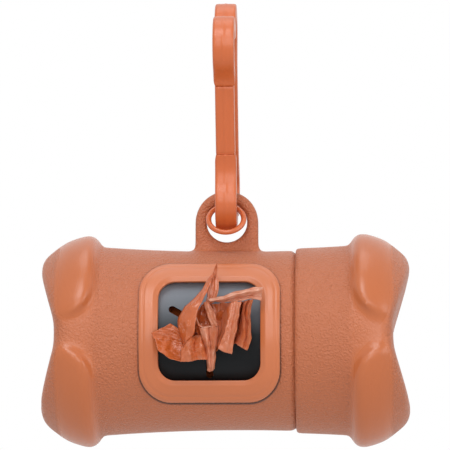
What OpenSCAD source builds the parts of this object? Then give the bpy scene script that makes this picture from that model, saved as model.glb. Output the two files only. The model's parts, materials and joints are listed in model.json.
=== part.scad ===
// Bone-shaped waste bag dispenser that hangs from a bone-shaped snap hook.
// Millimetres, +Z up, X along the bone. The origin is the centre of the seat inside
// the hook's rear upper lobe, where a lead, ring or belt loop carries it.

/* [Barrel] */
// Radius of the barrel at its waist
waist_r = 20.3; // [19.8:0.1:21]
// How much the barrel's radius grows from the waist to the left lobes
flare_rise = 1.1; // [0.8:0.1:1.7]
// Thickness of the barrel's wall
wall = 2; // [1.7:0.1:2.3]
// Distance of the waist from the middle of the bone, towards the cap
waist_x = 3; // [0:1:6]
// Distance from the middle to each flat end between the lobes
end_x = 37.9; // [37.5:0.1:39.5]
// Rounding of the barrel's ends
end_round = 3; // [1:0.5:4]
// Distance of the seam between shell and cap from the middle
seam_x = 15.6; // [14:0.2:20]
// Open line between shell and cap
seam_gap = 0.15; // [0.1:0.05:0.4]
// How far the cap stands proud of the shell at the seam
cap_step = 0.5; // [0.3:0.1:0.8]
// Thickness of the end walls
end_wall = 2.7; // [2:0.1:3]

/* [Cap fit] */
// Length of the collar that the cap pushes onto
collar_len = 8; // [5:0.5:10]
// Wall of that collar
collar_wall = 1.25; // [1:0.05:1.3]
// Radial clearance between collar and cap
cap_clear = 0.05; // [0.03:0.01:0.1]
// Room behind the collar's end inside the cap
collar_room = 0.4; // [0.2:0.1:1]

/* [Lobes] */
// How far the lobes stand out from the barrel's waist
lobe_rise = 4.1; // [3.6:0.1:4.7]
// Distance of the lobes' furthest points from the middle
lobe_x = 42.1; // [41.5:0.1:43]
// Distance of the lobes' inner edges from the middle
lobe_in_x = 28.6; // [27.5:0.1:29.5]
// Height of the valley between the lobes at its floor, to each side of the middle
valley_half = 3; // [2:0.2:4]
// Slope of the valley's sides, in width per height
valley_slope = 0.32; // [0.2:0.02:0.4]
// Radius of each lobe's lower inner corner, seen from the front
lobe_corner = 9; // [6:0.5:9.5]
// Rounding of the lobes' edges
lobe_round = 2.2; // [1:0.1:2.6]

/* [Hanging tab] */
// Height of the tab's hole above the barrel's waist
tab_rise = 6.9; // [6.7:0.1:8.2]
// Sideways place of the tab from the middle of the bone
tab_x = 0.2; // [-2:0.1:2]
// Radius of the tab's round top
tab_r = 7.2; // [6.8:0.1:7.6]
// Radius of the hole
tab_hole_r = 4.64; // [4.6:0.01:4.8]
// Thickness of the tab
tab_t = 3; // [2.6:0.1:3.2]
// Width of the foot that spreads onto the barrel on each side
tab_foot = 0.9; // [0.4:0.1:1.4]

/* [Window] */
// Outer width of the square bezel
bezel_w = 31.4; // [30:0.2:33]
// Corner radius of the bezel
bezel_corner = 7; // [5:0.5:8]
// Width of the bezel's opening
open_w = 23.3; // [22:0.1:24]
// Height of the bezel's opening
open_h = 22.6; // [22:0.1:24]
// Corner radius of the opening
open_corner = 3.8; // [2.5:0.1:4.5]
// How far the bezel's crown stands in front of the barrel's waist
bezel_proud = 1.6; // [1.2:0.1:2.2]
// Sideways place of the window from the middle of the bone
window_x = -3; // [-4:0.5:-2]
// Height of the window's middle above the barrel's axis
window_z = 0.4; // [0:0.1:1]
// Width of the chamfer round the bezel's outer edge
bezel_bevel = 0.7; // [0.4:0.1:1.4]
// Width of the ledge behind which the plate sits
ledge = 1; // [0.6:0.1:1.3]
// Wall of the bezel's collar inside the shell
bezel_collar = 1; // [0.8:0.1:1.2]
// Clearance of the collar in the shell's opening
window_clear = 0.1; // [0.05:0.05:0.2]
// How far the collar reaches past the shell's inner wall
collar_reach = 0.9; // [0.4:0.1:1.2]

/* [Slot plate] */
// Thickness of the plate
plate_t = 1.2; // [0.8:0.1:1.4]
// Depth of the plate's face behind the bezel's crown
plate_sink = 2.4; // [1.8:0.1:2.6]
// Clearance of the plate in its seat
plate_clear = 0.1; // [0.05:0.05:0.2]
// Number of slot arms
arms = 3; // [3:1:4]
// Length of each arm
arm_len = 9.6; // [7:0.2:10]
// Width of each arm
arm_w = 1.6; // [1.2:0.1:2]

/* [Hook] */
// Thickness of the hook
hook_t = 4.9; // [4.4:0.1:5]
// Thickness of the gate
gate_t = 4.4; // [3.8:0.1:4.4]
// Width of the hook's bar, seen from its side
bar_w = 3.4; // [3.2:0.1:3.4]
// Outer radius of the four lobes
hook_lobe_r = 6.8; // [6.8:0.1:7]
// Half the distance between front and rear lobes
hook_half_d = 6.2; // [6:0.1:6.3]
// Half the distance between upper and lower lobes
hook_half_h = 18.3; // [18:0.1:19]
// Half the depth of the hook's waist
hook_waist = 9; // [8.6:0.1:9.6]
// Radius of the hollow between waist and lobes
waist_fillet = 8; // [5:0.5:10]
// Rounding in the clefts between the lobes
cleft_round = 0.8; // [0.4:0.1:1]
// Lean of the hook towards the front
hook_lean = 24; // [23:0.5:25]
// Distance of the gate's tip below the upper lobes' middle
nose_len = 8.8; // [8.3:0.5:10.3]
// Height of the gate's root above the lower lobes' middle
root_rise = 12.8; // [12.3:0.5:13.8]
// Slope of the lap between nose and gate
lap_angle = 40; // [30:1:50]
// Open line between nose and gate
gate_gap = 0.2; // [0.1:0.05:0.3]
// Clearance round the gate's root
root_clear = 0.05; // [0.03:0.01:0.1]

/* [Keeper ring] */
// Radius of the ring's centre line
ring_r = 4; // [3.9:0.05:4.1]
// Thickness of the ring
ring_t = 1.2; // [1:0.1:1.3]
// Place of the ring round the front lower lobe, below the level
ring_at = 56; // [54:1:58]
// Gap between the ring and the tab behind it
ring_gap = 0.35; // [0.3:0.05:0.5]

/* [Bags] */
// Gap between the full roll of bags and the barrel
roll_room = 3; // [2.7:0.1:5]
// Length of the roll
roll_len = 60; // [56:1:64]
// Outer radius of the roll's paper core
core_r = 8; // [7:0.5:10]
// Wall of the core
core_wall = 0.9; // [0.6:0.1:1.5]
// Width of the bunched bag end outside the window
tail_w = 25; // [20:0.5:26]
// Height of the bunched bag end
tail_h = 25; // [20:0.5:26]
// How far the bunch stands out from the bezel
tail_out = 8; // [6:0.5:12]
// Thickness of the bag end where it is drawn through the slot
neck_t = 1.2; // [0.8:0.1:1.3]
// Gap that the bunch keeps from the bezel
tail_clear = 0.4; // [0.3:0.1:1]

/* [Hidden] */
$fn = 64;
eps = 0.01;
beyond = 60;
profile_step = 3;
tight = 0.2;

// the barrel's other radii follow its waist
flare_r = waist_r + flare_rise;
lobe_r = waist_r + lobe_rise;
cavity_r = waist_r - wall;
roll_r = cavity_r - roll_room;
tab_z = waist_r + tab_rise;
bezel_front = waist_r + bezel_proud;
// the gate's ends, above and below the hook's middle
gate_top = hook_half_h - nose_len;
gate_root = hook_half_h - root_rise;
// the front lower lobe of the hook, where the tab hangs, from the rear upper one
low_y = -2 * hook_half_d * cos(hook_lean) + 2 * hook_half_h * sin(hook_lean);
low_z = -2 * hook_half_d * sin(hook_lean) - 2 * hook_half_h * cos(hook_lean);
// the ring goes round the bar of that lobe
bar_mid = hook_lobe_r - bar_w / 2;
ring_y = low_y - bar_mid * cos(ring_at);
ring_z = low_z - bar_mid * sin(ring_at);
// the tab hangs just behind the ring
tab_front = ring_y + ring_r * cos(ring_at) + ring_t / 2 + ring_gap;
bone_y = tab_front + tab_t / 2;
// its hole stands so that the bar's rear rise clears the arch
hook_in_r = hook_lobe_r - bar_w;
rise = min(tab_front + tab_t - low_y, hook_in_r - eps);
bar_top = low_z - sqrt(hook_in_r * hook_in_r - rise * rise);
hole_z = bar_top + tight - sqrt(tab_hole_r * tab_hole_r - hook_t * hook_t / 4);
bone_z = hole_z - tab_z;

flare = (flare_r - waist_r) / pow(lobe_in_x - 1.5 + waist_x, 2);
function barrel_r(x) = waist_r + flare * pow(x - waist_x, 2);
function steps(a, b) = [for (i = [0:ceil(abs(b - a) / profile_step)])
    a + (b - a) * i / ceil(abs(b - a) / profile_step)];

collar_out_r = cavity_r + collar_wall;
seat_w = open_w + 2 * ledge;
seat_h = open_h + 2 * ledge;
seat_corner = open_corner + ledge;
hole_w = seat_w + 2 * (bezel_collar + window_clear);
hole_h = seat_h + 2 * (bezel_collar + window_clear);
hole_corner = seat_corner + bezel_collar + window_clear;
plate_front = bezel_front - plate_sink;

module at_bone() translate([0, bone_y, bone_z]) children();
module at_window() at_bone() translate([window_x, 0, window_z]) children();
// turns an outline of (distance along the bone, radius) round the bone's axis
module turned() rotate([0, 90, 0]) rotate_extrude($fn = 96) children();
// raises a front-view outline (x, z) along the depth, between two distances in front
module raised(near, far) translate([0, -far, 0]) rotate([90, 0, 0])
    linear_extrude(near - far) children();
module round_square(w, h, r) {
    translate([-w / 2 + r, -h / 2]) square([w - 2 * r, h]);
    translate([-w / 2, -h / 2 + r]) square([w, h - 2 * r]);
    for (sx = [-1, 1], sz = [-1, 1])
        translate([sx * (w / 2 - r), sz * (h / 2 - r)]) circle(r);
}
module softened(r) offset(r = r, $fn = 24) offset(r = -r) children();
module filled(r) offset(r = -r) offset(r = r, $fn = 48) children();

// Barrel from one end to the seam, as (radius, distance) outlines
module barrel_outline(from_x, to_x, extra) polygon(concat(
    [[0, from_x]],
    [for (x = steps(from_x, to_x)) [barrel_r(x) + extra, x]],
    [[0, to_x]]));
module lobe_outline(side, extra) scale([1, side]) softened(lobe_round) polygon([
    [-lobe_r, end_x],
    [4, end_x],
    [0.58 * lobe_r, lobe_x + 0.3],
    [0.77 * lobe_r, lobe_x - 0.7],
    [lobe_r - 1.6 + extra, end_x - 1.8],
    [lobe_r + extra, lobe_in_x + 2.4],
    [lobe_r + extra, lobe_in_x],
    [-lobe_r, lobe_in_x]]);
// Front view of the upper lobe on the side where x is positive
module lobe_front() intersection() {
    translate([lobe_in_x, valley_half]) offset(r = lobe_corner, $fn = 48) offset(r = -lobe_corner)
        square(beyond);
    offset(r = 1.2, $fn = 24) offset(r = -1.2) polygon([
        [0, valley_half], [end_x, valley_half],
        [end_x + valley_slope * beyond, valley_half + beyond], [0, valley_half + beyond]]);
}
module lobes(side, extra) intersection() {
    turned() intersection() {
        lobe_outline(side, extra);
        translate([0, -beyond]) square([beyond, 2 * beyond]);
    }
    for (up = [0, 1]) mirror([0, 0, up]) mirror([side > 0 ? 0 : 1, 0, 0])
        raised(beyond / 2, -beyond / 2) lobe_front();
}
// The outside of the shell between its end and the seam
module shell_skin() turned() intersection() {
    barrel_outline(-end_x, seam_x, 0);
    softened(end_round) translate([-beyond, -end_x]) square([beyond + flare_r + 0.3, 2 * beyond]);
}
module cap_skin() turned() intersection() {
    barrel_outline(seam_x + seam_gap, end_x, cap_step);
    softened(end_round) translate([-beyond, end_x - 2 * beyond])
        square([beyond + flare_r + 0.8, 2 * beyond]);
}
module x_tube(r, from_x, to_x) translate([from_x, 0, 0]) rotate([0, 90, 0])
    cylinder(r = r, h = to_x - from_x, $fn = 96);

module tab() translate([tab_x, 0, 0]) difference() {
    raised(tab_t / 2, -tab_t / 2) {
        translate([0, tab_z]) circle(tab_r);
        translate([-tab_r, cavity_r + 0.6]) square([2 * tab_r, tab_z - cavity_r - 0.6]);
        // the foot's small flares
        polygon([[-tab_r - tab_foot, waist_r], [tab_r + tab_foot, waist_r],
            [tab_r, waist_r + tab_foot], [-tab_r, waist_r + tab_foot]]);
    }
    translate([0, beyond / 2, tab_z]) rotate([90, 0, 0]) cylinder(r = tab_hole_r, h = beyond);
}

module main_shell() color([0.77, 0.46, 0.35]) at_bone() {
    difference() {
        union() {
            shell_skin();
            lobes(-1, 0);
            x_tube(collar_out_r, 0, seam_x + collar_len);
            tab();
        }
        x_tube(cavity_r, -end_x + end_wall, beyond);
        translate([window_x, 0, window_z]) raised(beyond, 0)
            round_square(hole_w, hole_h, hole_corner);
    }
}

module end_cap() color([0.77, 0.46, 0.35]) at_bone() difference() {
    union() {
        cap_skin();
        lobes(1, 0.2);
    }
    x_tube(cavity_r, 0, end_x - end_wall);
    x_tube(collar_out_r + cap_clear, 0, seam_x + collar_len + collar_room);
}

// A front outline of the window, carried in to the barrel's axis and cut round at a radius
module crowned(r) intersection() {
    at_window() raised(beyond, 0) children();
    at_bone() x_tube(r, -beyond, beyond);
}

module window_bezel() color([0.80, 0.48, 0.32]) difference() {
    union() {
        difference() {
            union() for (k = [0, 0.5, 1]) crowned(bezel_front - bezel_bevel * (1 - k) * (1 - k))
                round_square(bezel_w - 2 * k * bezel_bevel, bezel_w - 2 * k * bezel_bevel,
                    bezel_corner - k * bezel_bevel);
            at_bone() turned() barrel_outline(-lobe_in_x, seam_x, 0);
        }
        difference() {
            crowned(bezel_front - bezel_bevel) round_square(hole_w - 2 * window_clear,
                hole_h - 2 * window_clear, hole_corner - window_clear);
            at_bone() x_tube(cavity_r - collar_reach, -beyond, beyond);
        }
    }
    at_window() raised(beyond, 0) round_square(open_w, open_h, open_corner);
    crowned(plate_front) round_square(seat_w, seat_h, seat_corner);
}

module slot_plate() color([0.11, 0.11, 0.12]) difference() {
    crowned(plate_front) round_square(seat_w - 2 * plate_clear, seat_h - 2 * plate_clear,
        seat_corner - plate_clear);
    at_bone() x_tube(plate_front - plate_t, -beyond, beyond);
    at_window() raised(beyond, 0) for (i = [0:arms - 1]) rotate(-90 + i * 360 / arms) {
        translate([0, -arm_w / 2]) square([arm_len, arm_w]);
        translate([arm_len, 0]) circle(arm_w / 2, $fn = 32);
    }
}

// The hook is drawn from its side, as (depth, height) round its own middle
module at_hook() rotate([hook_lean, 0, 0]) translate([tab_x, -hook_half_d, -hook_half_h])
    children();
module hook_slab(t) rotate([90, 0, 90]) translate([0, 0, -t / 2]) linear_extrude(t) children();
module hook_circles(r) for (s = [-1, 1], t = [-1, 1])
    translate([s * hook_half_d, t * hook_half_h]) circle(r);
module hook_outer() filled(cleft_round) {
    hook_circles(hook_lobe_r);
    intersection() {
        filled(waist_fillet) {
            hook_circles(hook_lobe_r);
            square([2 * hook_waist, 2 * hook_half_h], center = true);
        }
        square([4 * hook_waist, 2 * hook_half_h], center = true);
    }
}
module hook_band() difference() {
    hook_outer();
    offset(r = -bar_w, $fn = 48) hook_outer();
    hook_circles(hook_in_r);
}
// The stretch of the front side that opens, below the nose's slanted lap
module gate_zone(gap) intersection() {
    translate([-2 * hook_waist, -gate_root]) square([2 * hook_waist, beyond]);
    translate([-hook_waist, gate_top + gap]) rotate(lap_angle)
        translate([-beyond, -beyond]) square([2 * beyond, beyond]);
}
module gate_eye(r) translate([-hook_waist + bar_w / 2, -gate_root]) circle(r);

module hook_frame() color([0.82, 0.44, 0.27]) at_hook() difference() {
    hook_slab(hook_t) difference() {
        hook_band();
        gate_zone(gate_gap);
        gate_eye(bar_w / 2 + root_clear);
    }
    rotate([0, 90, 0]) for (s = [-1, 1], t = [-1, 1])
        translate([-t * hook_half_h, s * hook_half_d, -beyond / 2])
            cylinder(r = hook_in_r, h = beyond);
}

module hook_gate() color([0.82, 0.44, 0.27]) at_hook() hook_slab(gate_t) {
    intersection() {
        hook_band();
        gate_zone(0);
    }
    gate_eye(bar_w / 2);
}

module keeper_ring() color([0.82, 0.44, 0.27]) translate([tab_x, ring_y, ring_z])
    rotate([ring_at, 0, 0]) rotate_extrude()
        translate([ring_r, 0]) circle(ring_t / 2, $fn = 32);

module bag_roll() color([0.80, 0.47, 0.31]) at_bone() difference() {
    x_tube(roll_r, -roll_len / 2, roll_len / 2);
    x_tube(core_r + window_clear, -beyond, beyond);
}
module roll_core() color([0.70, 0.58, 0.44]) at_bone() difference() {
    x_tube(core_r, -roll_len / 2, roll_len / 2);
    x_tube(core_r - core_wall, -beyond, beyond);
}

// The bag end: a drawn neck through the slot, then a pleated bunch in front of the bezel
tail_sides = 36;
function pleat(a) = 1 + 0.14 * cos(3 * a + 20) + 0.12 * cos(5 * a + 70);
tail_rings = [
    // distance in front, share of the bunch's size
    [roll_r + tail_clear, 0], [plate_front + tail_clear / 2, 0],
    [bezel_front - plate_sink / 2, 0.45], [bezel_front + tail_clear, 0.62],
    [bezel_front + 0.2 * tail_out, 0.8],
    [bezel_front + 0.6 * tail_out, 0.66], [bezel_front + tail_out, 0.3]];
function tail_point(ring, a) = [
    (ring[1] == 0 ? neck_t / 2 : ring[1] * tail_w / 2 * pleat(a)) * cos(a),
    -ring[0],
    (ring[1] == 0 ? neck_t / 2 : ring[1] * tail_h / 2 * pleat(a)) * sin(a)];
module bag_tail() color([0.80, 0.47, 0.31]) at_window() polyhedron(
    points = [for (r = tail_rings, i = [0:tail_sides - 1]) tail_point(r, i * 360 / tail_sides)],
    faces = concat(
        [[for (i = [0:tail_sides - 1]) i]],
        [for (k = [0:len(tail_rings) - 2], i = [0:tail_sides - 1])
            let (j = (i + 1) % tail_sides, a = k * tail_sides)
            [a + i, a + tail_sides + i, a + tail_sides + j, a + j]],
        [[for (i = [tail_sides - 1:-1:0]) (len(tail_rings) - 1) * tail_sides + i]]));

main_shell();
end_cap();
window_bezel();
slot_plate();
hook_frame();
hook_gate();
keeper_ring();
bag_roll();
roll_core();
bag_tail();
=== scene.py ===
"""A bone-shaped waste bag dispenser on its snap hook, dressed over its packed construction."""

import json
import math

import bmesh
import bpy
from bpy.props import FloatProperty, FloatVectorProperty, IntProperty, PointerProperty
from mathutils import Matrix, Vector, noise


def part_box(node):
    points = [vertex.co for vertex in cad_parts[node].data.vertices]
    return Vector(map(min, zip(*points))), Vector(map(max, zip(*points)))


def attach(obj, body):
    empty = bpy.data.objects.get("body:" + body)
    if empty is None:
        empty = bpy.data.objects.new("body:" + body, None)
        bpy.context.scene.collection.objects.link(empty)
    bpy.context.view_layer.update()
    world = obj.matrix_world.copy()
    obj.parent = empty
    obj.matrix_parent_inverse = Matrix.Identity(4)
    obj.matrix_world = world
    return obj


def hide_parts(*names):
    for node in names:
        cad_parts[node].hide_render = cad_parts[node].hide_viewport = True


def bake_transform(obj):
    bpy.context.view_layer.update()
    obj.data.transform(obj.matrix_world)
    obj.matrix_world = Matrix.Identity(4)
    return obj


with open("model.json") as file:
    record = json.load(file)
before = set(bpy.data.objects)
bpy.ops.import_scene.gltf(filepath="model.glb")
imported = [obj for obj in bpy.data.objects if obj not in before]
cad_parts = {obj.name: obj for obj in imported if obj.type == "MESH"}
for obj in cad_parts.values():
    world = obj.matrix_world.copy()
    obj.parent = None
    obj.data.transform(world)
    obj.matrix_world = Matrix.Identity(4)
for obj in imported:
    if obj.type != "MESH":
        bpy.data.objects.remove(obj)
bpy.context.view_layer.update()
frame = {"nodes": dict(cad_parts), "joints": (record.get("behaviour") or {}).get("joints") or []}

bl_info = {
    "name": "Bag Dispenser Looks",
    "version": (1, 0, 0),
    "blender": (4, 5, 0),
    "location": "View3D > Sidebar > Dispenser",
    "description": "Dresses a bone-shaped waste bag dispenser and its hook",
    "category": "Object",
}

MM = 0.001
SHELL_LOW = Vector(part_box("main_shell")[0])
PLATE_LOW, PLATE_HIGH = (Vector(v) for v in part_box("slot_plate"))
BEZEL_LOW, BEZEL_HIGH = (Vector(v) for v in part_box("window_bezel"))
ROLL_LOW, ROLL_HIGH = (Vector(v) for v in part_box("bag_roll"))
HOOK_LOW, HOOK_HIGH = (Vector(v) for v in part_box("hook_frame"))
RING_JOINT = next(j for j in frame["joints"] if j["name"] == "ring_spin")

BONE = (ROLL_LOW + ROLL_HIGH) / 2
WINDOW = (PLATE_LOW + PLATE_HIGH) / 2
PLATE_FACE = PLATE_LOW.y
HOOK_MIDDLE = (HOOK_LOW.x + HOOK_HIGH.x) / 2

# Sizes of the solids that their boxes don't tell.
SHELL_WAIST = 20.3 * MM
FILM_INSIDE = 8.15 * MM
# Where the lobes begin and are full: along the bone from its middle, for their form and for
# their smooth finish, and out from its axis, for the finish.
LOBE_FORM = (27.6 * MM, 29.6 * MM)
LOBE_FINISH = (27.8 * MM, 29.2 * MM)
LOBE_RISE = (21.3 * MM, 22 * MM)

# Colours that no look's property sets.
# The colour of the shadow painted into the joint round the bezel.
PAINTED_SHADOW_COLOR = (0.03, 0.008, 0.005)
# The pale colour of the film's stress lines and of the highlight painted on its folds.
CREASE_LINE_AND_HIGHLIGHT_COLOR = (0.82, 0.44, 0.31)
# The bluish sheen painted on the upper part of the black plate.
PAINTED_SHEEN_COLOR = (0.21, 0.23, 0.26)
PLATE_TINT = (0.86, 0.94, 1)
FLOOR_COLOR = (0.88, 0.88, 0.88)


# ---------------------------------------------------------------- properties


class ShellLook(bpy.types.PropertyGroup):
    """Colours and surface of the shell and the cap."""

    color: FloatVectorProperty(
        name="Shell colour", description="Colour of the shell and the cap",
        subtype="COLOR", size=3, min=0, max=1, default=(0.52, 0.150, 0.058))
    lobe_color: FloatVectorProperty(
        name="Lobe colour", description="Colour of the smooth lobes",
        subtype="COLOR", size=3, min=0, max=1, default=(0.56, 0.150, 0.046))
    voxel: FloatProperty(
        name="Mesh detail", description="Edge of the cells that the shell is remeshed with",
        subtype="DISTANCE", unit="LENGTH", default=0.46 * MM, min=0.2 * MM, max=1 * MM)
    lobe_softness: IntProperty(
        name="Lobe softness", description="Rounds of smoothing over the lobes",
        default=110, min=0, max=200)
    grain: FloatProperty(
        name="Grain size", description="Size of the moulded pebble grain",
        subtype="DISTANCE", unit="LENGTH", default=0.48 * MM, min=0.2 * MM, max=2 * MM)


class WindowLook(bpy.types.PropertyGroup):
    """Colours of the bezel and the plate, and the bezel's outline."""

    color: FloatVectorProperty(
        name="Bezel colour", description="Colour of the glossy bezel",
        subtype="COLOR", size=3, min=0, max=1, default=(0.61, 0.172, 0.06))
    plate_color: FloatVectorProperty(
        name="Plate colour", description="Colour of the slotted plate",
        subtype="COLOR", size=3, min=0, max=1, default=(0.005, 0.005, 0.0055))
    outer: FloatProperty(
        name="Bezel width", description="Outer width of the bezel",
        subtype="DISTANCE", unit="LENGTH", default=BEZEL_HIGH.x - BEZEL_LOW.x)
    outer_corner: FloatProperty(
        name="Outer corner", description="Corner radius of the bezel",
        subtype="DISTANCE", unit="LENGTH", default=7 * MM)
    open_width: FloatProperty(
        name="Opening width", description="Width of the bezel's opening",
        subtype="DISTANCE", unit="LENGTH", default=22.8 * MM)
    open_height: FloatProperty(
        name="Opening height", description="Height of the bezel's opening",
        subtype="DISTANCE", unit="LENGTH", default=22.2 * MM)
    open_corner: FloatProperty(
        name="Opening corner", description="Corner radius of the opening",
        subtype="DISTANCE", unit="LENGTH", default=3.8 * MM)


class HookLook(bpy.types.PropertyGroup):
    """Colour and edges of the hook, and the keeper ring's size."""

    color: FloatVectorProperty(
        name="Hook colour", description="Colour of the hook, its gate and the ring",
        subtype="COLOR", size=3, min=0, max=1, default=(0.66, 0.145, 0.036))
    voxel: FloatProperty(
        name="Mesh detail", description="Edge of the cells that the hook is remeshed with",
        subtype="DISTANCE", unit="LENGTH", default=0.26 * MM, min=0.15 * MM, max=1 * MM)
    softness: IntProperty(
        name="Edge softness", description="Rounds of smoothing over the hook's edges",
        default=22, min=0, max=40)
    parting_line: FloatProperty(
        name="Parting line", description="Height of the mould's parting line",
        subtype="DISTANCE", unit="LENGTH", default=0.1 * MM, min=0, max=0.3 * MM)
    ring_radius: FloatProperty(
        name="Ring radius", description="Radius of the keeper ring's centre line",
        subtype="DISTANCE", unit="LENGTH", default=4 * MM)
    ring_thickness: FloatProperty(
        name="Ring thickness", description="Thickness of the keeper ring",
        subtype="DISTANCE", unit="LENGTH", default=1.2 * MM)


class BagLook(bpy.types.PropertyGroup):
    """Colours and film of the bags, and the bag end's flat size."""

    color: FloatVectorProperty(
        name="Film colour", description="Colour of the bags",
        subtype="COLOR", size=3, min=0, max=1, default=(0.58, 0.122, 0.026))
    film: FloatProperty(
        name="Film thickness", description="Thickness of the bunched film",
        subtype="DISTANCE", unit="LENGTH", default=0.12 * MM, min=0.02 * MM, max=0.3 * MM)
    creases: FloatProperty(
        name="Creases", description="Depth of the film's small creases",
        subtype="DISTANCE", unit="LENGTH", default=0.42 * MM, min=0, max=1 * MM)
    flat_width: FloatProperty(
        name="Flat width", description="Width of the bag end's film before it was gathered",
        subtype="DISTANCE", unit="LENGTH", default=60 * MM)
    flat_length: FloatProperty(
        name="Flat length", description="Length of the bag end's film before it was gathered",
        subtype="DISTANCE", unit="LENGTH", default=12.5 * MM)
    turns: IntProperty(
        name="Turns", description="Turns of film that show on the roll's ends",
        default=14, min=4, max=40)
    core_color: FloatVectorProperty(
        name="Core colour", description="Colour of the roll's paper core",
        subtype="COLOR", size=3, min=0, max=1, default=(0.42, 0.29, 0.17))


class StageLook(bpy.types.PropertyGroup):
    """Where the camera stands and what it shows."""

    distance: FloatProperty(
        name="Camera distance", description="Distance of the camera from the object",
        subtype="DISTANCE", unit="LENGTH", default=0.85, min=0.3, max=3)
    azimuth: FloatProperty(
        name="Camera azimuth", description="How far the camera stands to the right",
        subtype="ANGLE", unit="ROTATION", default=math.radians(2.2))
    elevation: FloatProperty(
        name="Camera elevation", description="Height of the camera's line of sight",
        subtype="ANGLE", unit="ROTATION", default=math.radians(-7.6))
    frame_width: FloatProperty(
        name="Frame width", description="Width that the picture shows at the object",
        subtype="DISTANCE", unit="LENGTH", default=102.4 * MM)
    above_bone: FloatProperty(
        name="Aim height", description="How far above the bone's middle the camera aims",
        subtype="DISTANCE", unit="LENGTH", default=26.4 * MM)
    beside_bone: FloatProperty(
        name="Aim side", description="How far beside the bone's middle the camera aims",
        subtype="DISTANCE", unit="LENGTH", default=-0.25 * MM)


# ---------------------------------------------------------------- materials


def new_material(name, color, roughness):
    """A material with one colour and roughness, its node tree and its shader."""
    mat = bpy.data.materials.new(name)
    mat.use_nodes = True
    tree = mat.node_tree
    shader = tree.nodes["Principled BSDF"]
    shader.inputs["Base Color"].default_value = (*color, 1)
    shader.inputs["Roughness"].default_value = roughness
    return mat, tree, shader


def add_noise(tree, size, detail, roughness=0.5):
    """Noise of a real size, in object space."""
    place = tree.nodes.new("ShaderNodeTexCoord")
    node = tree.nodes.new("ShaderNodeTexNoise")
    node.inputs["Scale"].default_value = 1 / size
    node.inputs["Detail"].default_value = detail
    node.inputs["Roughness"].default_value = roughness
    tree.links.new(place.outputs["Object"], node.inputs["Vector"])
    return node.outputs["Fac"]


def add_axes(tree):
    """The X, Y and Z of the shaded point, in object space."""
    place = tree.nodes.new("ShaderNodeTexCoord")
    node = tree.nodes.new("ShaderNodeSeparateXYZ")
    tree.links.new(place.outputs["Object"], node.inputs[0])
    return node.outputs


def add_attribute(tree, name):
    """A value that the mesh holds at its points."""
    node = tree.nodes.new("ShaderNodeAttribute")
    node.attribute_name = name
    return node.outputs["Fac"]


def add_ramp(tree, source, low, high, low_value, high_value):
    """Maps a stretch of a value onto another one."""
    node = tree.nodes.new("ShaderNodeMapRange")
    node.inputs["From Min"].default_value = low
    node.inputs["From Max"].default_value = high
    node.inputs["To Min"].default_value = low_value
    node.inputs["To Max"].default_value = high_value
    tree.links.new(source, node.inputs["Value"])
    return node.outputs["Result"]


def add_math(tree, operation, *values):
    """Works out one value from numbers and from other nodes' outputs."""
    node = tree.nodes.new("ShaderNodeMath")
    node.operation = operation
    for socket, value in zip(node.inputs, values):
        if isinstance(value, float):
            socket.default_value = value
        else:
            tree.links.new(value, socket)
    return node.outputs[0]


def add_bump(tree, shader, heights):
    """Chains bumps of (height output, depth) onto the shader's normal."""
    last = None
    for height, depth in heights:
        node = tree.nodes.new("ShaderNodeBump")
        node.inputs["Distance"].default_value = depth
        tree.links.new(height, node.inputs["Height"])
        if last:
            tree.links.new(last, node.inputs["Normal"])
        last = node.outputs["Normal"]
    tree.links.new(last, shader.inputs["Normal"])


def tint(tree, shader, color, factor):
    """Mixes a colour into the shader's linked base colour, as far as the factor says."""
    base = shader.inputs["Base Color"]
    node = tree.nodes.new("ShaderNodeMix")
    node.data_type = "RGBA"
    node.inputs["B"].default_value = (*color, 1)
    tree.links.new(base.links[0].from_socket, node.inputs["A"])
    tree.links.new(factor, node.inputs["Factor"])
    tree.links.new(node.outputs["Result"], base)


def shade_variation(tree, shader, color, size, depth, wear):
    """Clouds the colour a little and lightens it on worn edges."""
    clouds = tree.nodes.new("ShaderNodeMix")
    clouds.data_type = "RGBA"
    clouds.inputs["A"].default_value = (*(c * (1 - depth) for c in color), 1)
    clouds.inputs["B"].default_value = (*(min(1, c * (1 + depth)) for c in color), 1)
    tree.links.new(add_noise(tree, size, 4), clouds.inputs["Factor"])
    tree.links.new(clouds.outputs["Result"], shader.inputs["Base Color"])
    edge = tree.nodes.new("ShaderNodeNewGeometry").outputs["Pointiness"]
    lighter = [min(1, c * 1.25 + 0.08) for c in color]
    tint(tree, shader, lighter, add_ramp(tree, edge, 0.60, 0.74, 0, wear))


def moulded_plastic(name, color, roughness, grain, grain_depth, gloss=0.0, wear=0.25):
    """Moulded plastic with a pebble grain, faint clouds and worn edges."""
    mat, tree, shader = new_material(name, color, roughness)
    shader.inputs["Coat Weight"].default_value = gloss
    shader.inputs["Coat Roughness"].default_value = 0.18
    shade_variation(tree, shader, color, 9 * MM, 0.05, wear)
    fine, broad = add_noise(tree, grain, 2), add_noise(tree, 14 * grain, 3)
    add_bump(tree, shader, [(broad, 0.10 * MM), (fine, grain_depth)])
    spread = 0.05
    rough = add_ramp(tree, broad, 0.3, 0.7, roughness - spread, roughness + spread)
    tree.links.new(rough, shader.inputs["Roughness"])
    return mat


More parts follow.
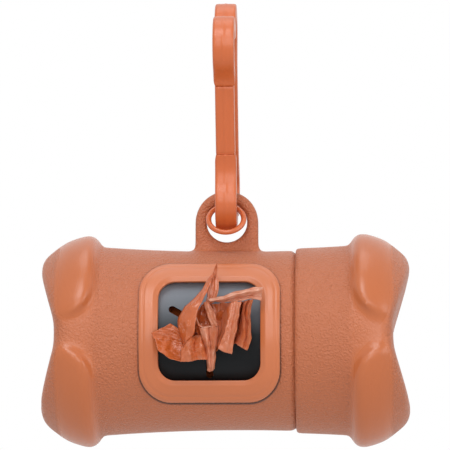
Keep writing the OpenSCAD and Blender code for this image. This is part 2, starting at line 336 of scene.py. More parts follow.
def paint_bezel_contact_shadow(tree, shader, window):
    """Painted shadow along the bezel's outline: darkens the shell's front in the joint between the
    parts, strongest low down.
    """
    last = tree.nodes.new("ShaderNodeTexCoord").outputs["Object"]
    corner = window.outer_corner
    straight = window.outer / 2 - corner
    for operation, value in (("SUBTRACT", WINDOW), ("MULTIPLY", (1, 0, 1)), ("ABSOLUTE", None),
                             ("SUBTRACT", (straight, 0, straight)), ("MAXIMUM", (0, 0, 0))):
        node = tree.nodes.new("ShaderNodeVectorMath")
        node.operation = operation
        tree.links.new(last, node.inputs[0])
        if value:
            node.inputs[1].default_value = value
        last = node.outputs["Vector"]
    away = tree.nodes.new("ShaderNodeVectorMath")
    away.operation = "LENGTH"
    tree.links.new(last, away.inputs[0])
    axes = add_axes(tree)
    # Painted shadow: a dark line in the joint round the bezel, stronger towards the bottom.
    line = add_ramp(tree, away.outputs["Value"], corner + 0.15 * MM, corner + 0.45 * MM, 0.85, 0)
    front = add_ramp(tree, axes["Y"], BONE.y - 2 * MM, BONE.y, 1, 0)
    low = add_ramp(tree, axes["Z"], WINDOW.z - 13 * MM, WINDOW.z + 13 * MM, 1, 0.25)
    painted_shadow = add_math(tree, "MULTIPLY", add_math(tree, "MULTIPLY", line, front), low)
    tint(tree, shader, PAINTED_SHADOW_COLOR, painted_shadow)


def shell_plastic(look, window):
    """The shell's plastic: pebbled on the barrel, smooth and shinier on the lobes."""
    color = tuple(look.color)
    barrel_roughness, lobe_roughness = 0.42, 0.27
    mat, tree, shader = new_material("shell_plastic", color, barrel_roughness)
    shader.inputs["Sheen Weight"].default_value = 0.1
    shader.inputs["Sheen Roughness"].default_value = 0.45
    shade_variation(tree, shader, color, 12 * MM, 0.045, 0.25)
    paint_bezel_contact_shadow(tree, shader, window)
    lobe = add_attribute(tree, "smooth_lobe")
    tint(tree, shader, look.lobe_color, add_ramp(tree, lobe, 0, 1, 0, 0.85))
    fine, broad = add_noise(tree, look.grain, 2), add_noise(tree, 16 * look.grain, 3)
    pebbles = add_math(tree, "MULTIPLY", fine, add_ramp(tree, lobe, 0, 1, 1, 0.08))
    add_bump(tree, shader, [(broad, 0.07 * MM), (pebbles, 0.42 * MM)])
    rough = add_ramp(tree, lobe, 0, 1, barrel_roughness, lobe_roughness)
    tree.links.new(rough, shader.inputs["Roughness"])
    return mat


def paint_crease_lines_and_highlights(tree, shader):
    """Pale stress lines along the creases, and a painted highlight: the film drawn paler and
    pinker on the folds where light glances off it.
    """
    lines = add_math(tree, "COMPARE", add_noise(tree, 3.2 * MM, 2), 0.5, 0.006)
    # Stress lines plus the painted highlight, which pales the film where light falls on its folds.
    crease_lines_and_highlight = add_math(tree, "MULTIPLY_ADD", lines, 0.22, add_attribute(tree, "painted_highlight"))
    crease_lines_and_highlight.node.use_clamp = True
    tint(tree, shader, CREASE_LINE_AND_HIGHLIGHT_COLOR, crease_lines_and_highlight)


def bag_film(look, name="bag_film"):
    """Thin tinted film that lets some light through."""
    color = tuple(look.color)
    mat, tree, shader = new_material(name, color, 0.25)
    shader.inputs["Coat Weight"].default_value = 0.25
    shader.inputs["Coat Roughness"].default_value = 0.2
    shade_variation(tree, shader, color, 5 * MM, 0.08, 0.3)
    paint_crease_lines_and_highlights(tree, shader)
    crinkle, fine = add_noise(tree, 3.4 * MM, 3, 0.45), add_noise(tree, 0.9 * MM, 2)
    add_bump(tree, shader, [(crinkle, 0.8 * MM), (fine, 0.02 * MM)])
    through = tree.nodes.new("ShaderNodeBsdfTranslucent")
    through.inputs["Color"].default_value = (*(min(1, c * 1.3) for c in color), 1)
    both = tree.nodes.new("ShaderNodeMixShader")
    both.inputs[0].default_value = 0.05
    tree.links.new(shader.outputs[0], both.inputs[1])
    tree.links.new(through.outputs[0], both.inputs[2])
    tree.links.new(both.outputs[0], tree.nodes["Material Output"].inputs["Surface"])
    return mat


def paper_board(color):
    """Raw board with fibres."""
    mat, tree, shader = new_material("core_board", color, 0.85)
    shade_variation(tree, shader, color, 3 * MM, 0.16, 0.1)
    add_bump(tree, shader, [(add_noise(tree, 0.4 * MM, 4, 0.7), 0.05 * MM)])
    return mat


# ---------------------------------------------------------------- mesh helpers


def new_object(name, verts, faces):
    """An object in the scene with a mesh of these points and faces."""
    mesh = bpy.data.meshes.new(name)
    mesh.from_pydata([tuple(v) for v in verts], [], faces)
    obj = bpy.data.objects.new(name, mesh)
    bpy.context.scene.collection.objects.link(obj)
    return obj


def grid_faces(rows, columns, rows_close=True, columns_close=True):
    """The quads between points that are stored row by row."""
    faces = []
    for i in range(rows if rows_close else rows - 1):
        j = (i + 1) % rows
        for k in range(columns if columns_close else columns - 1):
            m = (k + 1) % columns
            faces.append((i * columns + k, j * columns + k, j * columns + m, i * columns + m))
    return faces


def make_outward(mesh):
    """Turns all faces outward."""
    bm = bmesh.new()
    bm.from_mesh(mesh)
    bmesh.ops.recalc_face_normals(bm, faces=bm.faces)
    bm.to_mesh(mesh)
    bm.free()


def set_material(obj, mat):
    """Makes this the object's one material."""
    obj.data.materials.clear()
    obj.data.materials.append(mat)


def finish_piece(obj, mat, body, node):
    """Shading and material of a piece, the body it rides on, and the node it shows, which is
    hidden.
    """
    make_outward(obj.data)
    obj.data.shade_smooth()
    set_material(obj, mat)
    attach(obj, body)
    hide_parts(node)


def apply_modifiers(obj):
    """Gives the object the mesh that its modifiers make."""
    evaluated = obj.evaluated_get(bpy.context.evaluated_depsgraph_get())
    mesh = bpy.data.meshes.new_from_object(evaluated)
    obj.modifiers.clear()
    obj.data = mesh


def softened_copy(node, name, voxel, rounds, weight):
    """A node's shape, remeshed into even cells and smoothed as much as weight says."""
    obj = bpy.data.objects.new(name, frame["nodes"][node].data.copy())
    bpy.context.scene.collection.objects.link(obj)
    remesh = obj.modifiers.new("cells", "REMESH")
    remesh.mode = "VOXEL"
    remesh.voxel_size = voxel
    remesh.adaptivity = 0
    apply_modifiers(obj)
    group = obj.vertex_groups.new(name="soft")
    for v in obj.data.vertices:
        group.add([v.index], weight(v.co), "REPLACE")
    smooth = obj.modifiers.new("soft edges", "SMOOTH")
    smooth.iterations = rounds
    smooth.vertex_group = group.name
    apply_modifiers(obj)
    obj.vertex_groups.clear()
    return obj


def ramp(value, low, high):
    """0 below low, 1 above high, and a smooth rise between."""
    t = max(0.0, min(1.0, (value - low) / (high - low)))
    return t * t * (3 - 2 * t)


def bell(value, middle, width):
    """1 at the middle, falling smoothly to nothing over some two widths."""
    return math.exp(-(((value - middle) / width) ** 2))


def round_square(width, height, corner, count):
    """Points round a square with round corners, as many on a corner as on a side."""
    w, h = width / 2 - corner, height / 2 - corner
    part = count // 8
    points = []
    middles = [(w, h, 0), (-w, h, 90), (-w, -h, 180), (w, -h, 270)]
    for i, (cx, cz, start) in enumerate(middles):
        for k in range(part):
            a = math.radians(start + 90 * k / part)
            points.append((cx + corner * math.cos(a), cz + corner * math.sin(a)))
        nx, nz, _ = middles[(i + 1) % 4]
        a = math.radians(start + 90)
        ax, az = cx + corner * math.cos(a), cz + corner * math.sin(a)
        bx, bz = nx + corner * math.cos(a), nz + corner * math.sin(a)
        for k in range(part):
            points.append((ax + (bx - ax) * k / part, az + (bz - az) * k / part))
    return points


# ---------------------------------------------------------------- shell and cap


def dress_shell(context, node, name, body):
    """The shell or the cap, with soft lobes and crisp seams."""
    look = context.scene.dispenser_shell
    crisp = 0.16

    def weight(p):
        """Full smoothing on the lobes and little of it elsewhere."""
        return crisp + (1 - crisp) * ramp(abs(p.x - BONE.x), *LOBE_FORM)

    obj = softened_copy(node, name, look.voxel, look.lobe_softness, weight)
    mat = shell_plastic(look, context.scene.dispenser_window)
    finish_piece(obj, mat, body, node)
    smooth_lobe = obj.data.attributes.new("smooth_lobe", "FLOAT", "POINT")
    for v in obj.data.vertices:
        away = (Vector((0, v.co.y, v.co.z)) - Vector((0, BONE.y, BONE.z))).length
        side = ramp(abs(v.co.x - BONE.x), *LOBE_FINISH)
        smooth_lobe.data[v.index].value = side * ramp(away, *LOBE_RISE)


class DISPENSER_OT_shell(bpy.types.Operator):
    """Dress the barrel's shell and its hanging tab"""

    bl_idname = "dispenser.shell"
    bl_label = "Shell"

    def execute(self, context):
        dress_shell(context, "main_shell", "shell_moulding", "dispenser")
        return {"FINISHED"}


class DISPENSER_OT_cap(bpy.types.Operator):
    """Dress the end cap"""

    bl_idname = "dispenser.cap"
    bl_label = "End cap"

    def execute(self, context):
        dress_shell(context, "end_cap", "cap_moulding", "cap")
        return {"FINISHED"}


# ---------------------------------------------------------------- window


def bezel_section(outer, inner):
    """Section from the bezel's foot over its crown to the plate, as (x, z, radius)."""
    (ox, oz), (ix, iz) = outer, inner
    crown, foot = BONE.y - BEZEL_LOW.y, SHELL_WAIST - 0.25 * MM
    plate = BONE.y - PLATE_FACE
    edge = 0.9 * MM
    # The foot stands back under the rim, which leaves a shadow gap above the shell.
    set_back, rim = 0.16, foot + 0.85 * MM
    gx, gz = ox + set_back * (ix - ox), oz + set_back * (iz - oz)
    points = [(gx, gz, foot), (gx, gz, rim), (ox, oz, rim + 0.1 * MM), (ox, oz, crown - edge)]
    steps = 28
    for k in range(1, steps + 1):
        u = k / steps
        rise = math.sin(math.pi * min(1, 0.10 + 0.86 * u)) ** 0.38
        groove = 0.13 * MM * bell(u, 0.24, 0.05)
        bead = 0.12 * MM * bell(u, 0.74, 0.09)
        radius = crown - edge * (1 - rise) - groove + bead
        points.append((ox + (ix - ox) * u, oz + (iz - oz) * u, radius))
    return points + [(ix, iz, plate + 0.4 * MM), (ix, iz, plate - 0.3 * MM)]


class DISPENSER_OT_bezel(bpy.types.Operator):
    """Build the window's crowned bezel"""

    bl_idname = "dispenser.bezel"
    bl_label = "Window bezel"

    def execute(self, context):
        look = context.scene.dispenser_window
        count = 96
        outer = round_square(look.outer, look.outer, look.outer_corner, count)
        inner = round_square(look.open_width, look.open_height, look.open_corner, count)
        rows = [bezel_section(o, i) for o, i in zip(outer, inner)]
        lift = WINDOW.z - BONE.z
        verts = [(WINDOW.x + x, BONE.y - math.sqrt(r * r - (z + lift) ** 2), WINDOW.z + z)
                 for row in rows for x, z, r in row]
        obj = new_object("bezel_moulding", verts, grid_faces(count, len(rows[0])))
        mat = moulded_plastic("gloss_trim", tuple(look.color), 0.36, 0.5 * MM, 0.012 * MM, 0.2)
        finish_piece(obj, mat, "dispenser", "window_bezel")
        return {"FINISHED"}


class DISPENSER_OT_plate(bpy.types.Operator):
    """Finish the black slotted plate"""

    bl_idname = "dispenser.plate"
    bl_label = "Slotted plate"

    def execute(self, context):
        look = context.scene.dispenser_window
        mat = moulded_plastic("black_plate", tuple(look.plate_color), 0.40, 0.45 * MM, 0.035 * MM)
        tree = mat.node_tree
        shader = tree.nodes["Principled BSDF"]
        shader.inputs["Specular Tint"].default_value = (*PLATE_TINT, 1)
        shader.inputs["Specular IOR Level"].default_value = 0.18
        # Painted sheen: the plate is drawn lighter and bluish towards its top, where it catches
        # the light.
        height = add_axes(tree)["Z"]
        painted_sheen = add_ramp(tree, height, WINDOW.z - 1 * MM, WINDOW.z + 8 * MM, 0, 1)
        tint(tree, shader, PAINTED_SHEEN_COLOR, painted_sheen)
        plate = frame["nodes"]["slot_plate"]
        set_material(plate, mat)
        rim = plate.modifiers.new("soft rim", "BEVEL")
        rim.width = 0.25 * MM
        rim.segments = 3
        rim.limit_method = "ANGLE"
        return {"FINISHED"}


# ---------------------------------------------------------------- hook


def dress_hook_part(context, node, name, body):
    """A hook part with round edges and the mould's parting line."""
    look = context.scene.dispenser_hook
    obj = softened_copy(node, name, look.voxel, look.softness, lambda p: 1.0)
    normals = [v.normal.copy() for v in obj.data.vertices]
    for v, n in zip(obj.data.vertices, normals):
        ridge = bell(v.co.x, HOOK_MIDDLE, 0.28 * MM)
        v.co += n * look.parting_line * ridge * (1 - abs(n.x))
    color = tuple(look.color)
    mat = moulded_plastic("gloss_" + body, color, 0.38, 0.6 * MM, 0.01 * MM, 0.2, 0.3)
    finish_piece(obj, mat, body, node)


class DISPENSER_OT_hook(bpy.types.Operator):
    """Dress the hook's frame and its gate"""

    bl_idname = "dispenser.hook"
    bl_label = "Hook and gate"

    def execute(self, context):
        dress_hook_part(context, "hook_frame", "hook_moulding", "hook")
        dress_hook_part(context, "hook_gate", "gate_moulding", "gate")
        return {"FINISHED"}


class DISPENSER_OT_ring(bpy.types.Operator):
    """Build the keeper ring"""

    bl_idname = "dispenser.ring"
    bl_label = "Keeper ring"

    def execute(self, context):
        look = context.scene.dispenser_hook
        axis = Vector(RING_JOINT["axis"]).normalized()
        middle = Vector(RING_JOINT["pos_m"])
        side = Vector((1, 0, 0))
        up = axis.cross(side)
        around, section = 96, 20
        verts = []
        for i in range(around):
            a = 2 * math.pi * i / around
            out = side * math.cos(a) + up * math.sin(a)
            for k in range(section):
                b = 2 * math.pi * k / section
                flat = 1 + 0.05 * math.cos(4 * b)
                r = look.ring_thickness / 2 * flat
                reach = look.ring_radius + r * math.cos(b)
                verts.append(middle + out * reach + axis * r * math.sin(b))
        obj = new_object("ring_moulding", verts, grid_faces(around, section))
        mat = moulded_plastic("gloss_ring", tuple(look.color), 0.3, 0.6 * MM, 0.008 * MM, 0.4)
        finish_piece(obj, mat, "ring", "keeper_ring")
        return {"FINISHED"}


# ---------------------------------------------------------------- bags


class DISPENSER_OT_roll(bpy.types.Operator):
    """Build the wound roll of bags and finish its core"""

    bl_idname = "dispenser.roll"
    bl_label = "Bag roll"

    def execute(self, context):
        look = context.scene.dispenser_bag
        outer, half = (ROLL_HIGH.z - ROLL_LOW.z) / 2, (ROLL_HIGH.x - ROLL_LOW.x) / 2
        around, steps, across = 120, 5 * look.turns, 12
        # Which end, or 0 for the outside, and how far out or along.
        section = [(-1, k / steps) for k in range(steps + 1)]
        section += [(0, k / across) for k in range(across + 1)]
        section += [(1, k / steps) for k in range(steps, -1, -1)]
        verts = []
        for i in range(around):
            turn = i / around
            a = 2 * math.pi * turn
            for end, u in section:
                if end:
                    r = FILM_INSIDE + (outer - FILM_INSIDE) * u
                    layer = abs(math.sin(math.pi * (u * look.turns + turn)))
                    x = end * (half - 0.28 * MM * layer * ramp(1 - u, 0, 0.03))
                else:
                    x = -half + 2 * half * u
                    wave = noise.noise(Vector((40 * u, 3 * math.cos(a), 3 * math.sin(a))))
                    r = outer - 0.25 * MM * abs(wave)
                verts.append((BONE.x + x, BONE.y + r * math.cos(a), BONE.z + r * math.sin(a)))
        obj = new_object("wound_bags", verts, grid_faces(around, len(section)))
        finish_piece(obj, bag_film(look, "rolled_film"), "roll", "bag_roll")
        set_material(frame["nodes"]["roll_core"], paper_board(tuple(look.core_color)))
        return {"FINISHED"}


# Folds of the bag end. Each row runs from the slot outward, as millimetres to the right of
# the window's middle, above it, and out from the plate's face.
BLADE = [
    [(-5.7, -4.2, 3.2), (-6.4, -0.8, 3.6), (-6.7, 2.1, 4.0), (-5.4, 4.6, 4.2),
     (-2.7, 7.1, 4.0), (-0.8, 9.8, 3.4), (0.5, 11.9, 2.6), (1.4, 12.3, 2.5)],
    [(-5.1, -3.6, 5.2), (-4.7, -1.1, 5.8), (-4.5, 1.8, 6.2), (-3.6, 4.4, 6.0),
     (-1.7, 6.9, 5.4), (-0.4, 9.5, 4.4), (0.6, 11.2, 3.2), (1.5, 12.2, 2.6)],
    [(-4.3, -2.7, 4.6), (-3.0, -1.1, 6.2), (-2.6, 1.8, 7.0), (-1.9, 4.6, 6.8),
     (-0.7, 7.0, 5.8), (0.3, 9.4, 4.5), (0.9, 11.1, 3.3), (1.6, 12.1, 2.6)],
]
BLADE_BACK = [
    [(-0.8, 5.3, 3.4), (-0.5, 7.2, 3.6), (-0.1, 9.0, 3.4),
     (0.3, 11.3, 2.7), (1.1, 13.3, 2.1), (1.7, 14.9, 1.8)],
    [(0.4, 5.4, 2.8), (0.6, 7.2, 3.0), (0.8, 9.2, 2.9),
     (1.1, 11.2, 2.3), (1.4, 13.1, 1.9), (1.7, 14.9, 1.7)],
    [(1.7, 6.0, 3.6), (1.9, 7.6, 3.6), (2.0, 9.4, 3.2),
     (2.1, 11.4, 2.5), (1.9, 13.2, 2.0), (1.7, 14.9, 1.8)],
]
CUP = [
    [(-5.7, -0.8, 2.4), (-6.9, 0.0, 2.6), (-7.9, 0.8, 2.8), (-8.5, 1.2, 3.0)],
    [(-5.8, -1.7, 2.2), (-7.3, -0.9, 2.4), (-9.1, -0.1, 2.9), (-10.6, 0.1, 3.5)],
    [(-5.8, -2.6, 2.0), (-8.0, -2.2, 2.4), (-10.4, -1.6, 3.2), (-12.6, -1.1, 4.1)],
    [(-5.8, -3.7, 2.2), (-7.9, -3.4, 2.4), (-10.1, -3.1, 3.4), (-11.7, -2.7, 4.6)],
    [(-5.7, -4.7, 2.4), (-7.5, -4.9, 2.8), (-9.4, -4.9, 4.0), (-11.0, -4.9, 5.2)],
    [(-5.7, -5.7, 3.0), (-6.8, -6.1, 3.6), (-7.8, -6.6, 4.8), (-8.8, -6.8, 5.8)],
    [(-5.6, -6.5, 4.0), (-5.8, -7.0, 4.8), (-6.1, -7.4, 5.6), (-6.3, -7.6, 6.2)],
]
CUP_FRONT = [
    [(-6.2, -4.9, 5.4), (-6.1, -5.9, 6.2), (-6.1, -6.9, 6.4), (-6.1, -7.6, 6.2)],
    [(-3.9, -2.3, 5.6), (-4.1, -4.2, 7.4), (-4.2, -6.1, 7.6), (-4.4, -7.6, 6.6)],
    [(-3.0, -1.7, 3.8), (-3.1, -3.7, 5.0), (-3.0, -5.8, 5.6), (-2.9, -7.3, 5.4)],
    [(-1.8, -1.6, 4.6), (-1.5, -3.7, 6.2), (-1.4, -5.6, 6.6), (-1.3, -7.2, 5.8)],
    [(-1.1, -2.0, 2.8), (-0.7, -3.9, 3.6), (-0.5, -5.6, 4.2), (-0.1, -7.0, 4.4)],
]
HOLLOW = [
    [(-2.7, 3.4, 3.4), (-2.9, 1.8, 3.8), (-2.7, 0.0, 4.0), (-2.3, -1.7, 3.8)],
    [(-1.6, 5.4, 2.6), (-1.8, 3.4, 1.8), (-1.8, 1.2, 1.6), (-1.6, -1.0, 2.0)],
    [(0.2, 5.7, 2.2), (0.1, 3.5, 1.3), (0.1, 1.3, 1.4), (0.0, -1.0, 2.0)],
    [(2.0, 5.5, 2.4), (2.1, 3.0, 1.8), (2.1, 0.3, 2.0), (2.0, -2.0, 2.6)],
]
RIM = [
    [(-2.8, 2.5, 6.2), (-2.4, 1.3, 6.4), (-2.0, 0.3, 6.2),
     (-1.0, -0.2, 6.4), (0.4, 0.0, 6.2), (2.1, 0.5, 5.4)],
    [(-2.5, 2.5, 5.0), (-2.1, 1.4, 5.2), (-1.5, 0.6, 4.8),
     (-0.7, 0.4, 4.8), (0.5, 0.6, 4.6), (1.9, 1.0, 4.2)],
]
CREST = [
    [(-1.2, 5.6, 5.2), (-0.7, 3.8, 5.8), (0.0, 1.8, 6.2), (0.9, 0.1, 6.0)],
    [(-0.5, 5.7, 5.8), (0.3, 4.0, 6.6), (1.2, 2.0, 6.8), (1.9, 0.3, 6.0)],
    [(0.2, 5.5, 4.0), (1.1, 3.8, 4.6), (1.9, 2.0, 4.8), (2.4, 0.3, 4.4)],
]
FUNNEL = [
    [(-2.0, 0.1, 5.8), (-1.5, -1.9, 5.4), (-0.9, -4.2, 4.8), (-0.3, -6.6, 4.2), (-0.4, -9.3, 3.4)],
    [(-1.0, -0.4, 7.0), (-0.5, -2.3, 6.8), (-0.1, -4.4, 6.2), (0.2, -6.9, 5.2), (0.2, -9.6, 4.0)],
    [(0.1, 0.0, 5.8), (0.2, -2.1, 5.6), (0.4, -4.3, 5.2), (0.5, -6.8, 4.6), (0.5, -9.6, 3.7)],
    [(1.2, 0.0, 7.2), (1.2, -2.3, 7.0), (1.2, -4.4, 6.4), (1.1, -6.8, 5.2), (0.9, -9.5, 4.0)],
    [(2.1, 0.5, 4.8), (2.0, -1.8, 4.6), (1.8, -4.0, 4.4), (1.5, -6.5, 4.0), (1.3, -9.1, 3.2)],
]
RIBBON = [
    [(-0.3, 6.2, 4.8), (3.1, 7.1, 5.2), (6.7, 8.2, 4.8), (9.4, 8.9, 3.8), (12.0, 9.5, 2.8)],
    [(0.5, 5.8, 6.2), (3.6, 6.4, 6.6), (7.0, 7.4, 6.2), (9.6, 8.0, 5.0), (12.0, 8.6, 3.4)],
    [(1.3, 5.8, 4.4), (4.3, 6.1, 4.6), (7.2, 6.9, 4.4), (9.7, 7.3, 3.6), (11.8, 7.6, 2.6)],
    [(3.5, 5.7, 4.6), (5.4, 5.7, 5.0), (7.6, 6.1, 5.0), (9.7, 6.5, 4.2), (11.7, 6.1, 3.0)],
]
PLEATS = [
    [(0.5, 5.7, 2.2), (1.2, 2.9, 2.2), (1.9, 0.2, 2.6), (1.7, -2.5, 3.2)],
    [(2.4, 5.8, 1.6), (2.6, 3.0, 1.6), (2.7, -0.3, 2.4), (1.8, -3.8, 4.0)],
    [(4.8, 5.6, 5.2), (4.5, 1.9, 6.2), (3.6, -1.3, 6.6), (2.2, -4.9, 6.0)],
    [(6.0, 5.7, 5.6), (5.5, 1.7, 6.2), (4.7, -1.8, 6.4), (3.6, -5.6, 6.0)],
    [(7.2, 5.6, 6.2), (6.5, 1.3, 7.4), (5.8, -2.6, 7.4), (5.1, -6.2, 6.6)],
    [(7.3, 5.9, 2.8), (6.8, 2.4, 2.6), (6.2, -0.6, 3.0), (5.4, -3.3, 3.6)],
    [(8.4, 5.8, 5.4), (7.7, 2.8, 6.4), (7.9, -0.8, 6.8), (7.1, -4.4, 6.2)],
    [(8.8, 6.1, 4.0), (8.2, 3.5, 4.6), (8.5, -0.7, 5.4), (7.8, -4.7, 5.2)],
    [(9.4, 6.1, 5.4), (8.8, 3.5, 6.0), (9.0, -0.8, 6.6), (8.6, -5.2, 6.0)],
    [(9.9, 6.5, 3.0), (9.3, 4.0, 3.4), (9.3, 0.5, 4.0), (9.5, -2.5, 4.6)],
]
# Each fold, and how strongly a highlight is painted on its film.
FOLDS = (
    (BLADE, 0.03), (BLADE_BACK, 0.15), (CUP, 0.0), (CUP_FRONT, 0.08), (HOLLOW, 0.0),
    (RIM, 0.45), (CREST, 0.35), (FUNNEL, 0.36), (RIBBON, 0.5), (PLEATS, 0.18),
)
# The gathered film's distance from the plate's face and its radius, in millimetres.
NECK = [Vector(ring) for ring in
        ((0.4, 0.55, 0), (0.9, 0.8, 0), (1.4, 1.6, 0), (2.0, 3.0, 0), (2.6, 4.6, 0))]


def spline(points, t):
    """A point at t, from 0 to 1, on a smooth curve through the points."""
    last = len(points) - 1
    i = min(int(t * last), last - 1)
    u = t * last - i
    p0, p1 = points[max(i - 1, 0)], points[i]
    p2, p3 = points[i + 1], points[min(i + 2, last)]
    cubic = 3 * (p1 - p2) + p3 - p0
    return p1 + 0.5 * u * (p2 - p0 + u * (2 * p0 - 5 * p1 + 4 * p2 - p3 + u * cubic))


def drift(p):
    """A vector of noise at a point, the same in every run."""
    return Vector([noise.noise(p + Vector((9.3, -1.5, -7.9)) * k) for k in range(3)])


def film_grid(rows, creases, seed):
    """Points of one fold's surface: sharp pleats from row to row, with small creases."""
    per_row, fine = 7, 30
    curves = [[spline([Vector(p) for p in row], k / fine) for k in range(fine + 1)]
              for row in rows]
    grid = []
    for i in range(per_row * (len(rows) - 1) + 1):
        step = min(i // per_row, len(rows) - 2)
        u = i / per_row - step
        line = []
        for k in range(fine + 1):
            p = curves[step][k].lerp(curves[step + 1][k], u)
            shift = drift(p * 0.5 + Vector((seed, 0, 0)))
            crumple = abs(noise.noise(p * 0.75 + Vector((0, seed, 0))))
            pleat = abs(math.sin(1.9 * math.pi * i / per_row + 1.5 * noise.noise(p * 0.4)))
            lift = creases / MM * (0.9 * crumple + 0.35 * pleat)
            line.append(p + shift * 0.7 * creases / MM + Vector((0.2, 0.3, 1)) * lift)
        grid.append(line)
    return grid


def film_neck(creases):
    """Points of the gathered film from the slot to the backs of the folds."""
    around, along, gathers = 72, 24, 9
    grid = []
    for i in range(around + 1):
        a = 2 * math.pi * i / around
        line = []
        for k in range(along + 1):
            z, r = spline(NECK, k / along).xy
            twist = 2 * noise.noise(Vector((a, r, 0)))
            r *= 1 + 0.16 * ramp(r, 0.8, 3) * math.sin(gathers * a + twist)
            z += 2 * creases / MM * ramp(r, 1, 4) * math.sin(gathers * a)
            line.append(Vector((r * math.cos(a), r * math.sin(a), z)))
        grid.append(line)
    return grid


class DISPENSER_OT_bag_end(bpy.types.Operator):
    """Build the crumpled bag end that hangs out of the slot"""

    bl_idname = "dispenser.bag_end"
    bl_label = "Bag end"

    def execute(self, context):
        look = context.scene.dispenser_bag
        grids = [(film_grid(rows, look.creases, 7.3 * number), painted_highlight)
                 for number, (rows, painted_highlight) in enumerate(FOLDS)]
        verts, faces, pale = [], [], []
        for grid, painted_highlight in (*grids, (film_neck(look.creases), 0.0)):
            start = len(verts)
            for line in grid:
                for p in line:
                    x, y, z = WINDOW.x + p.x * MM, PLATE_FACE - p.z * MM, WINDOW.z + p.y * MM
                    verts.append((x, y, z))
                    # How strongly the highlight is painted at this point of the film.
                    pale.append(painted_highlight * (1 + noise.noise(p * 0.8)))
            for a, b, c, d in grid_faces(len(grid), len(grid[0]), False, False):
                faces.append((start + a, start + d, start + c, start + b))
        obj = new_object("bag_end", verts, faces)
        mesh = obj.data
        mesh.shade_smooth()
        mesh.set_sharp_from_angle(angle=math.radians(38))
        mesh.attributes.new("painted_highlight", "FLOAT", "POINT").data.foreach_set("value", pale)
        film = bag_film(look)
        mesh.materials.append(film)
        wall = obj.modifiers.new("film", "SOLIDIFY")
        wall.thickness = look.film
        wall.offset = 0
        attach(obj, "tail")
        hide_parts("bag_tail")

        drawn = self.drawn_film(film)
        return {"FINISHED"}

    def drawn_film(self, film):
        """The twisted film in the slot, from behind the plate to the bag end."""
        rings, around = 36, 20
        back, front = 3.4 * MM, 0.5 * MM
        verts = []
        for k in range(rings + 1):
            y = PLATE_FACE + back - (back + front) * k / rings
            for i in range(around):
                a = 2 * math.pi * i / around
                r = 0.55 * MM * (1 + 0.14 * math.sin(4 * a + 0.35 * k))
                verts.append((WINDOW.x + r * math.cos(a), y, WINDOW.z + r * math.sin(a)))
        obj = new_object("drawn_film", verts, grid_faces(rings + 1, around, rows_close=False))
        make_outward(obj.data)
        obj.data.shade_smooth()
        obj.data.materials.append(film)
        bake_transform(obj)
        return obj


# ---------------------------------------------------------------- stage

# Each lamp's name, where its light comes from, its width in degrees and its strength.
LAMPS = (
    ("key", (-0.14, -0.55, 0.58), 32, 1.04),
    ("fill", (0.65, -0.4, 0.1), 37, 0.62),
    ("top", (0.0, 0.05, 0.8), 35, 0.42),
    ("front", (0.05, -1.0, 0.22), 36, 0.66),
)
WORLD_STRENGTH = 0.36
FLOOR_DROP = 0.16
FLOOR_REACH = 3.0
FLOOR_GLOW = 0.18


def add_lamp(name, source, width, strength):
    """A wide soft light that comes from a direction, the same everywhere."""
    data = bpy.data.lights.new(name, "SUN")
    data.angle = math.radians(width)
    data.energy = strength
    lamp = bpy.data.objects.new(name, data)
    lamp.location = BONE + Vector(source)
    lamp.rotation_euler = (-Vector(source)).to_track_quat("-Z", "Y").to_euler()
    bpy.context.scene.collection.objects.link(lamp)


def white_world():
    """An even world: white to the camera, to gloss and to glass, and dimmer as a light."""
    world = bpy.data.worlds.new("studio")
    bpy.context.scene.world = world
    world.use_nodes = True
    tree = world.node_tree
    back = tree.nodes["Background"]
    rays = tree.nodes.new("ShaderNodeLightPath").outputs
    direct = add_math(tree, "MAXIMUM", rays["Is Camera Ray"], rays["Is Glossy Ray"])
    direct = add_math(tree, "MAXIMUM", direct, rays["Is Transmission Ray"])
    tree.links.new(add_ramp(tree, direct, 0, 1, WORLD_STRENGTH, 1), back.inputs["Strength"])
    back.inputs["Color"].default_value = (1, 1, 1, 1)


def pale_floor():
    """A wide plain floor below the object, a little brighter to the camera than it is lit."""
    height = SHELL_LOW.z - FLOOR_DROP
    corners = [(x * FLOOR_REACH, y * FLOOR_REACH, height)
               for x, y in ((-1, -1), (1, -1), (1, 1), (-1, 1))]
    floor = new_object("floor", corners, [(0, 1, 2, 3)])
    mat, tree, shader = new_material("pale_floor", FLOOR_COLOR, 0.7)
    camera_ray = tree.nodes.new("ShaderNodeLightPath").outputs["Is Camera Ray"]
    shader.inputs["Emission Color"].default_value = (1, 1, 1, 1)
    tree.links.new(add_ramp(tree, camera_ray, 0, 1, 0, FLOOR_GLOW),
                   shader.inputs["Emission Strength"])
    floor.data.materials.append(mat)


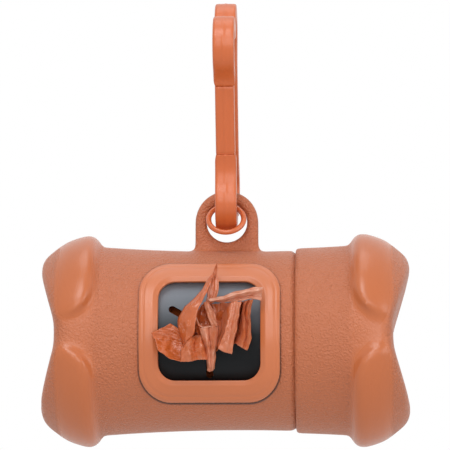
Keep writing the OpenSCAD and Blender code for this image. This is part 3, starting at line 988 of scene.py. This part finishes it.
class DISPENSER_OT_stage(bpy.types.Operator):
    """Set the camera, the lamps, the floor and the view"""

    bl_idname = "dispenser.stage"
    bl_label = "Stage"

    def execute(self, context):
        look = context.scene.dispenser_stage
        scene = context.scene
        az, el = look.azimuth, look.elevation
        toward = Vector((math.sin(az) * math.cos(el), -math.cos(az) * math.cos(el), math.sin(el)))
        right = Vector((math.cos(az), math.sin(az), 0))
        up = right.cross(-toward)
        aim = BONE + up * look.above_bone + right * look.beside_bone
        data = bpy.data.cameras.new("camera")
        data.lens = data.sensor_width * look.distance / look.frame_width
        camera = bpy.data.objects.new("camera", data)
        camera.location = aim + toward * look.distance
        camera.rotation_euler = (-toward).to_track_quat("-Z", "Y").to_euler()
        scene.collection.objects.link(camera)
        scene.camera = camera

        pale_floor()
        for lamp in LAMPS:
            add_lamp(*lamp)
        white_world()
        scene.view_settings.view_transform = "Standard"
        return {"FINISHED"}


# ---------------------------------------------------------------- panel and registration

OPERATORS = (
    DISPENSER_OT_stage, DISPENSER_OT_shell, DISPENSER_OT_cap, DISPENSER_OT_bezel,
    DISPENSER_OT_plate, DISPENSER_OT_hook, DISPENSER_OT_ring, DISPENSER_OT_roll,
    DISPENSER_OT_bag_end,
)
LOOKS = {
    "dispenser_shell": ShellLook,
    "dispenser_window": WindowLook,
    "dispenser_hook": HookLook,
    "dispenser_bag": BagLook,
    "dispenser_stage": StageLook,
}


class DISPENSER_PT_panel(bpy.types.Panel):
    """Lists the dispenser's pieces and their sizes and colours"""

    bl_label = "Bag Dispenser"
    bl_idname = "DISPENSER_PT_panel"
    bl_space_type = "VIEW_3D"
    bl_region_type = "UI"
    bl_category = "Dispenser"

    def draw(self, context):
        for operator in OPERATORS:
            self.layout.operator(operator.bl_idname)
        for name, group in LOOKS.items():
            box = self.layout.box()
            for prop in group.__annotations__:
                box.prop(getattr(context.scene, name), prop)


CLASSES = (*LOOKS.values(), *OPERATORS, DISPENSER_PT_panel)


def register():
    """Adds the looks, the operators and the panel."""
    for cls in CLASSES:
        bpy.utils.register_class(cls)
    for name, group in LOOKS.items():
        setattr(bpy.types.Scene, name, PointerProperty(type=group))


def unregister():
    """Takes away what register adds."""
    for name in LOOKS:
        delattr(bpy.types.Scene, name)
    for cls in reversed(CLASSES):
        bpy.utils.unregister_class(cls)


def main():
    """Dresses every piece."""
    register()
    for step in ("stage", "shell", "cap", "bezel", "plate", "hook", "ring", "roll", "bag_end"):
        getattr(bpy.ops.dispenser, step)()


if __name__ == "__main__":
    main()
